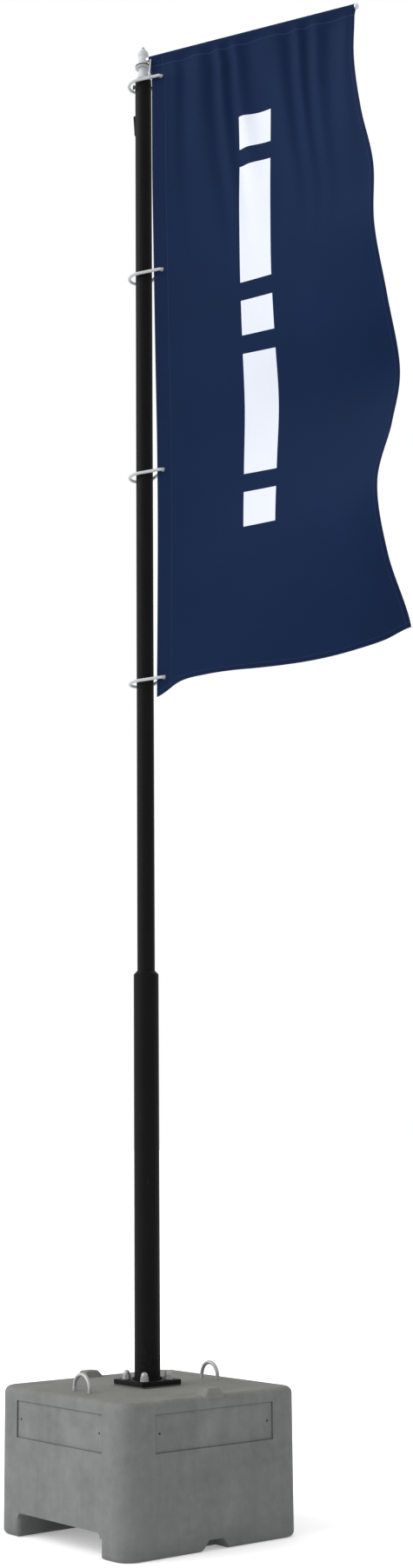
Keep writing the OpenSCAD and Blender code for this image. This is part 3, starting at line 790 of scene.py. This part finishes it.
# %% Turn the disc with its ribbed rim
RIM_SIDES, RIM_WALL, RIB_HEIGHT = 144, 0.0040, 0.0004
rim_low, rim_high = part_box("disc_rim")
rim_radius = (rim_high.x - rim_low.x) / 2
dish = lathe(rounded([(0.0095, disc_low.z), (rim_radius - 0.0012, disc_low.z),
                      (rim_radius - 0.0002, disc_low.z + 0.0010), (rim_radius - 0.0002, rim_low.z - 0.0001),
                      (rim_radius - 0.0052, rim_low.z - 0.0001), (rim_radius - 0.0052, disc_high.z - 0.0008),
                      (0.0250, disc_high.z - 0.0002), (0.0095, disc_high.z - 0.0002),
                      (0.0095, disc_low.z)], 0.0008))
done(dish, "disc_plate", white_plastic, "turning_head", ("turning_disc",))

fresh()
bpy.ops.mesh.primitive_cylinder_add(
    vertices=RIM_SIDES, radius=rim_radius - 0.0006, end_fill_type="NOTHING",
    depth=rim_high.z - rim_low.z, location=(0, 0, (rim_high.z + rim_low.z) / 2))
rim = bpy.context.object
wall = rim.modifiers.new("wall", "SOLIDIFY")
wall.thickness, wall.offset = RIM_WALL, -1
bpy.ops.object.modifier_apply(modifier=wall.name)
# two side faces of every three rise as one rib
ribs = pick(rim, lambda spot, normal: abs(normal.z) < 0.2
            and normal.dot(Vector((spot.x, spot.y, 0))) > 0
            and round(math.degrees(math.atan2(spot.y, spot.x)) * RIM_SIDES / 360 - 0.5) % 3 != 0)
bpy.ops.mesh.inset(thickness=0.0004, depth=0)
bpy.ops.mesh.extrude_region_shrink_fatten(TRANSFORM_OT_shrink_fatten={"value": RIB_HEIGHT})
soften_edges(rim, 0.0003)
print("rib faces:", ribs)
done(rim, "ribbed_rim", dark_rubber, "turning_head", ("disc_rim",))

# %% Turn the cap and its pointed screw
cap_low, cap_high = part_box("cap_cone")
cap_radius = (cap_high.x - cap_low.x) / 2
outline = [(0.004, cap_low.z + 0.0002), (cap_radius - 0.0032, cap_low.z + 0.0002),
           (cap_radius - 0.0002, cap_low.z + 0.0088), (cap_radius - 0.0002, cap_low.z + 0.0130),
           (cap_radius - 0.0010, cap_low.z + 0.0140), (cap_radius - 0.0010, cap_low.z + 0.0152),
           (cap_radius - 0.0002, cap_low.z + 0.0162), (cap_radius - 0.0002, cap_low.z + 0.0198),
           (0.0178, cap_low.z + 0.0302), (0.0092, cap_high.z - 0.0008), (0.0042, cap_high.z - 0.0003),
           (0.004, cap_low.z + 0.0002)]
cap = lathe(rounded(outline, 0.0014))
done(cap, "head_cap", white_plastic, "turning_head", ("cap_cone",))

screw_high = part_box("cap_screw")[1]
point = lathe(rounded([(0, cap_high.z - 0.004), (0.0040, cap_high.z - 0.004), (0.0040, cap_high.z - 0.0002),
                       (0.0069, cap_high.z), (0.0069, cap_high.z + 0.0018), (0.0050, screw_high.z - 0.0014),
                       (0.0030, screw_high.z - 0.0002), (0, screw_high.z - 0.0002)], 0.0008), 48)
done(point, "cap_point", dull_steel, "turning_head", ("cap_screw",))

# %% [markdown]
# ## Boom's end cap
# A plastic cap plugs the boom and stops the sleeve from sliding off. It is a short dome with a
# rounded rim, so it is turned too, and then laid along the boom.

# %% Turn the boom's end cap
outline = [(0, -0.018), (0.0085, -0.018), (0.0088, 0.0002), (0.0128, 0.0004), (0.0128, 0.0068),
           (0.0105, 0.0120), (0.0060, 0.0137), (0, 0.0139)]
end_cap = lathe(rounded(outline, 0.0022), 64)
lay_along = HEAD_FRAME @ Matrix.Translation((BOOM_END, 0, BOOM_Z)) @ Matrix.Rotation(math.pi / 2, 4, "Y")
turned_to(end_cap, lay_along)
done(end_cap, "boom_end_cap", cap_plastic, "turning_head", ("boom_tip_cap",))

# %% [markdown]
# ## Knob and halyard outlet
# The knob clamps the head in the mast. Its rim is fluted for fingers: every third side face is
# pushed in. The outlet is a small cast hood with soft edges. Its slot, where a rope would
# leave the mast, opens downwards.

# %% Model the knob
KNOB_SIDES, KNOB_RADIUS, KNOB_LENGTH, FLUTE_DEPTH = 36, 0.0080, 0.0098, 0.0009
knob_low, knob_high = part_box("clamp_knob")
knob_middle = (knob_low + knob_high) / 2
knob_turn = math.atan2(knob_middle.y, knob_middle.x)
fresh()
bpy.ops.mesh.primitive_cylinder_add(
    vertices=KNOB_SIDES, radius=KNOB_RADIUS, depth=KNOB_LENGTH,
    location=(mast_radius + 0.0070, 0, 0), rotation=(0, math.pi / 2, 0))
knob = bpy.context.object
settle()
flutes = pick(knob, lambda spot, normal: abs(normal.x) < 0.2
              and int((math.degrees(math.atan2(spot.y, spot.z)) + 360.1) * KNOB_SIDES / 360) % 3 == 0)
bpy.ops.mesh.extrude_region_shrink_fatten(TRANSFORM_OT_shrink_fatten={"value": -FLUTE_DEPTH})
pick(knob, lambda spot, normal: normal.x > 0.9)
bpy.ops.mesh.inset(thickness=0.0022, depth=0)
bpy.ops.mesh.inset(thickness=0.0006, depth=-0.0008)
pick(knob, lambda spot, normal: normal.x < -0.9)
bpy.ops.mesh.inset(thickness=0.0040, depth=0)
bpy.ops.mesh.extrude_region_move(TRANSFORM_OT_translate={"value": (-0.0024, 0, 0)})
soften_edges(knob, 0.0004)
turned_to(knob, Matrix.Translation((0, 0, knob_middle.z)) @ Matrix.Rotation(knob_turn, 4, "Z"))
print("flutes:", flutes)
done(knob, "fluted_knob", black_plastic, "mast", ("clamp_knob",))

# %% Model the halyard outlet
HOOD_DEPTH, HOOD_WIDTH, SLOT_DEPTH = 0.0120, 0.0258, 0.030
hood_low, hood_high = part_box("halyard_outlet")
hood_tall = hood_high.z - hood_low.z
fresh()
bpy.ops.mesh.primitive_cube_add(size=1, location=(-(mast_radius + 0.0040), 0, hood_low.z + hood_tall / 2),
                                scale=(HOOD_DEPTH, HOOD_WIDTH, hood_tall - 0.0004))
hood = bpy.context.object
settle()
pick(hood, lambda a, b: max(a.x, b.x) < -mast_radius and abs(a.y - b.y) > 0.01
     and a.z < hood_low.z + 0.01, "EDGE")
bpy.ops.transform.translate(value=(0.0060, 0, 0))
pick(hood, lambda a, b: a.x < -mast_radius and b.x < -mast_radius and a.y * b.y > 0, "EDGE")
bpy.ops.mesh.bevel(offset=0.0045, segments=4, affect="EDGES")
pick(hood, lambda a, b: a.x < -mast_radius and b.x < -mast_radius
     and min(a.z, b.z) > hood_high.z - 0.001, "EDGE")
bpy.ops.mesh.bevel(offset=0.0030, segments=3, affect="EDGES")
pick(hood, lambda spot, normal: normal.z < -0.9)
bpy.ops.mesh.inset(thickness=0.0016, depth=0)
bpy.ops.mesh.extrude_region_move(TRANSFORM_OT_translate={"value": (0, 0, SLOT_DEPTH)})
bpy.ops.object.mode_set(mode="OBJECT")
turned_to(hood, Matrix.Rotation(BOOM_TURN, 4, "Z"))
done(hood, "outlet_hood", powder, "mast", ("halyard_outlet",))

# %% [markdown]
# ## Foot plate, weld and nuts
# The plate is cut from steel, and its corners and edges are ground off. The weld at the mast's
# foot is a row of overlapping ripples, one per puddle: one squashed ball, copied round the tube.
# A dome nut is a hexagon with a chamfered top and a half ball on a short neck. Each of the four
# nuts is turned a little differently, as a spanner leaves it.

# %% Model the foot plate
PLATE_CORNER, GROUND_EDGE = 0.010, 0.0018
plate_low, plate_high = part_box("base_plate")
plate_size = plate_high - plate_low
fresh()
bpy.ops.mesh.primitive_cube_add(size=1, location=(plate_low + plate_high) / 2, scale=plate_size)
plate = bpy.context.object
settle()
pick(plate, lambda a, b: abs(a.z - b.z) > 0.01, "EDGE")
bpy.ops.mesh.bevel(offset=PLATE_CORNER, segments=6, affect="EDGES")
pick(plate, lambda a, b: min(a.z, b.z) > plate_high.z - 0.0005, "EDGE")
bpy.ops.mesh.bevel(offset=GROUND_EDGE, segments=2, affect="EDGES")
done(plate, "foot_plate", powder, "mast", ("base_plate",))

# %% Lay the weld
PUDDLES, PUDDLE_SIZE = 52, (0.0060, 0.0058, 0.0056)
weld_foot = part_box("foot_weld")[0].z
foot_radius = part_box("lower_mast_tube")[1].x
fresh()
bpy.ops.mesh.primitive_uv_sphere_add(segments=14, ring_count=8, radius=1, scale=PUDDLE_SIZE,
                                     location=(foot_radius + 0.0020, 0, weld_foot + 0.0020),
                                     rotation=(0, math.radians(-8), 0))
puddle = bpy.context.object
settle()
puddles = [puddle]
for k in range(1, PUDDLES):
    ripple = own_copy(puddle)
    lift = 0.0003 * 0.05 * math.sin(3.1 * k)
    turn = Matrix.Rotation(2 * math.pi * k / PUDDLES, 4, "Z")
    turned_to(ripple, turn @ Matrix.Translation((0, 0, lift)))
    puddles.append(ripple)
join_up(puddles)
done(puddle, "weld_ripples", powder, "mast", ("foot_weld",), 60)

# %% Model a dome nut
nut_low, nut_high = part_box("anchor_nut_1")
HEX_RADIUS, HEX_HEIGHT, DOME_RADIUS = 0.01732, 0.0150, 0.0140
fresh()
bpy.ops.mesh.primitive_cylinder_add(vertices=6, radius=HEX_RADIUS, depth=HEX_HEIGHT,
                                    location=(0, 0, HEX_HEIGHT / 2))
nut = bpy.context.object
settle()
pick(nut, lambda spot, normal: normal.z > 0.9)
bpy.ops.mesh.inset(thickness=0.0014, depth=0.0009)
pick(nut, lambda a, b: abs(a.z - b.z) > 0.01, "EDGE")
bpy.ops.mesh.bevel(offset=0.0006, segments=2, affect="EDGES")
fresh()
dome_middle = nut_high.z - nut_low.z - DOME_RADIUS
bpy.ops.mesh.primitive_uv_sphere_add(segments=48, ring_count=24, radius=DOME_RADIUS,
                                     location=(0, 0, dome_middle))
dome = bpy.context.object
settle()
edit_all()
bpy.ops.mesh.bisect(plane_co=(0, 0, dome_middle + 0.0005), plane_no=(0, 0, 1), clear_inner=True)
pick(dome, lambda a, b: max(a.z, b.z) < dome_middle + 0.0006, "EDGE")
neck = HEX_HEIGHT - 0.0002 - dome_middle
bpy.ops.mesh.extrude_region_move(TRANSFORM_OT_translate={"value": (0, 0, neck)})
join_up([nut, dome])

SPANNER_TURNS = (12, 40, 3, 27)
nuts = [nut, own_copy(nut), own_copy(nut), own_copy(nut)]
for k, each in enumerate(nuts, 1):
    low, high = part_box(f"anchor_nut_{k}")
    seat = Matrix.Translation(((low.x + high.x) / 2, (low.y + high.y) / 2, low.z))
    turned_to(each, seat @ Matrix.Rotation(math.radians(SPANNER_TURNS[k - 1]), 4, "Z"))
    done(each, f"dome_nut_{k}", zinc, "mast", (f"anchor_nut_{k}",))

# %% [markdown]
# ## Rings
# Each ring is one moulded bar. Its middle line is drawn as points along the two bends, and the
# straight sides are what is left between them. As a curve with a round bevel it becomes a bar,
# and then a mesh again.

# %% Bend a ring
middle_line = []
for along, radius, start, sweep, steps in (
        (BACK_ALONG, BACK_RADIUS, math.pi / 2 - RING_TAPER, math.pi + 2 * RING_TAPER, 72),
        (TIP_ALONG, TIP_RADIUS, RING_TAPER - math.pi / 2, math.pi - 2 * RING_TAPER, 24)):
    for k in range(steps + 1):
        turn = start + sweep * k / steps
        middle_line.append((along + radius * math.cos(turn), radius * math.sin(turn), 0))
ring = drawn(middle_line, [(k, (k + 1) % len(middle_line)) for k in range(len(middle_line))])
bpy.ops.object.convert(target="CURVE")
ring.data.bevel_depth = RING_BAR
ring.data.bevel_resolution = 7
bpy.ops.object.convert(target="MESH")

rings = [ring, own_copy(ring), own_copy(ring), own_copy(ring)]
for k, (each, ring_frame) in enumerate(zip(rings, ring_frames), 1):
    turned_to(each, HEAD_FRAME @ ring_frame)
    done(each, f"bent_ring_{k}", white_plastic, "turning_head",
         (f"flag_ring_{k}",), 60)

# %% [markdown]
# ## Eyelets, band and strap
# A dark lacquered eyelet clamps the cloth round each ring's tip: two rolled flanges and a short
# barrel, turned on a lathe and set square to the cloth. A tape is sewn behind the band to carry
# the load. At the top corner a strap of webbing loops round the first ring and is sewn to the
# sleeve.

# %% Set the eyelets
EYELET_OUTLINE = [(0.0086, -0.0012), (0.0086, 0.0012), (0.0098, 0.0021), (0.0112, 0.0017),
                  (0.0122, 0.0005), (0.0122, -0.0005), (0.0112, -0.0017), (0.0098, -0.0021),
                  (0.0086, -0.0012)]
lacquer = moulded("eyelet_lacquer_finish", (0.020, 0.028, 0.055), 0.36, 0.05, 0.0001, 0.4)
for k, tip in enumerate(ring_tips, 1):
    t = (FLAG_TOP - tip.z) / FLAG_LENGTH
    u_here = (tip.x - mast_edge(t)) / FLAG_WIDTH
    on_cloth = head_point(*cloth_place(u_here, t))
    middle = head_point(tip.x, cloth_place(u_here, t)[1], tip.z)
    sideways = (head_point(*cloth_place(u_here + 0.01, t)) - on_cloth).normalized()
    downward = (head_point(*cloth_place(u_here, t + 0.002)) - on_cloth).normalized()
    facing = sideways.cross(downward).normalized()
    eyelet = lathe(rounded(EYELET_OUTLINE, 0.0007), 48)
    frame_here = Matrix((sideways, facing.cross(sideways), facing)).transposed().to_4x4()
    turned_to(eyelet, Matrix.Translation(middle) @ frame_here)
    done(eyelet, f"eyelet_{k}", lacquer, "turning_head")

# %% Sew the tape behind the band
TAPE_GAP, TAPE_THICKNESS = 0.0012, 0.0014
tape_rows = range(SLEEVE_ROWS + 2, SLEEVE_ROWS + HANG_ROWS + 1)
tape_spots, tape_flat = [], []
for row in tape_rows:
    for k in range(BAND_COLUMNS + 1):
        along, front, height = places[row * row_length + k]
        tape_spots.append((along, front - TAPE_GAP, height))
        tape_flat.append(flat_places[row * row_length + k])
tape_across = BAND_COLUMNS + 1
kept = set(faces)
tape_faces = []
for j in range(len(tape_rows) - 1):
    for k in range(BAND_COLUMNS):
        a = (SLEEVE_ROWS + 2 + j) * row_length + k
        if (a, a + row_length, a + row_length + 1, a + 1) in kept:
            b = j * tape_across + k
            tape_faces.append((b, b + tape_across, b + tape_across + 1, b + 1))
band_tape = cloth_piece("band_tape", tape_spots, tape_faces, tape_flat, TAPE_THICKNESS,
                        cloth)


# %% Loop the strap
webbing = Finish("webbing_finish", Sheen_Weight=0.1, Specular_IOR_Level=0.25)
rows_of_yarn = (webbing.axes()[2] * (2 * math.pi / 0.0016)).sine()
yarn_shade = 0.92 + rows_of_yarn * 0.05 + webbing.noise(30.0) * 0.08
webbing.feed(Base_Color=webbing.tinted((0.40, 0.41, 0.43), yarn_shade))
webbing.feed(Roughness=0.7 + rows_of_yarn * 0.05)
webbing.emboss(rows_of_yarn, 0.0002)

STRAP_WIDTH, STRAP_THICKNESS = 0.0065, 0.0012
STRAP_TOP_ALONG, STRAP_REACH = 0.044, 0.060
LOOP_RADIUS, STRAP_STEPS = 0.0080, 14
side_start = Vector((BACK_ALONG + BACK_RADIUS * math.sin(RING_TAPER),
                     -BACK_RADIUS * math.cos(RING_TAPER), 0))
side_way = Vector((math.cos(RING_TAPER), math.sin(RING_TAPER), 0))
strap_foot = ring_frames[0] @ (side_start + side_way * STRAP_REACH)
foot_along, bar_front, bar_height = strap_foot.x, -strap_foot.y, strap_foot.z
top_front, top_height = 0.0120, BOOM_Z - 0.0085


def strap_run(way):
    """One run of the strap from the sleeve down to the loop, in front (1) or behind (-1)."""
    run = []
    for step in range(STRAP_STEPS + 1):
        share = step / STRAP_STEPS
        front = top_front + (bar_front - 0.002 - top_front) * share
        height = top_height + (bar_height + 0.022 - top_height) * share
        run.append((front + way * 0.0009, height + way * 0.0004))
    return run


turns = [math.radians(degrees) for degrees in range(50, -231, -14)]
loop_round = [(bar_front + LOOP_RADIUS * math.cos(turn), bar_height + LOOP_RADIUS * math.sin(turn))
              for turn in turns]
middle_line = strap_run(1) + loop_round + strap_run(-1)[::-1]
strap_spots, strap_flat, strap_faces = [], [], []
for k, (front, height) in enumerate(middle_line):
    share = (top_height - height) / (top_height - bar_height)
    along = STRAP_TOP_ALONG + (foot_along - STRAP_TOP_ALONG) * share
    for side in (-0.5, -0.17, 0.17, 0.5):
        strap_spots.append((along + side * STRAP_WIDTH, front, height))
        strap_flat.append((side * STRAP_WIDTH, 0.004 * k))
for k in range(len(middle_line) - 1):
    for j in range(3):
        a = 4 * k + j
        strap_faces.append((a, a + 4, a + 5, a + 1))
strap = cloth_piece("corner_webbing", strap_spots, strap_faces, strap_flat, STRAP_THICKNESS,
                    webbing)
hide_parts("corner_strap")
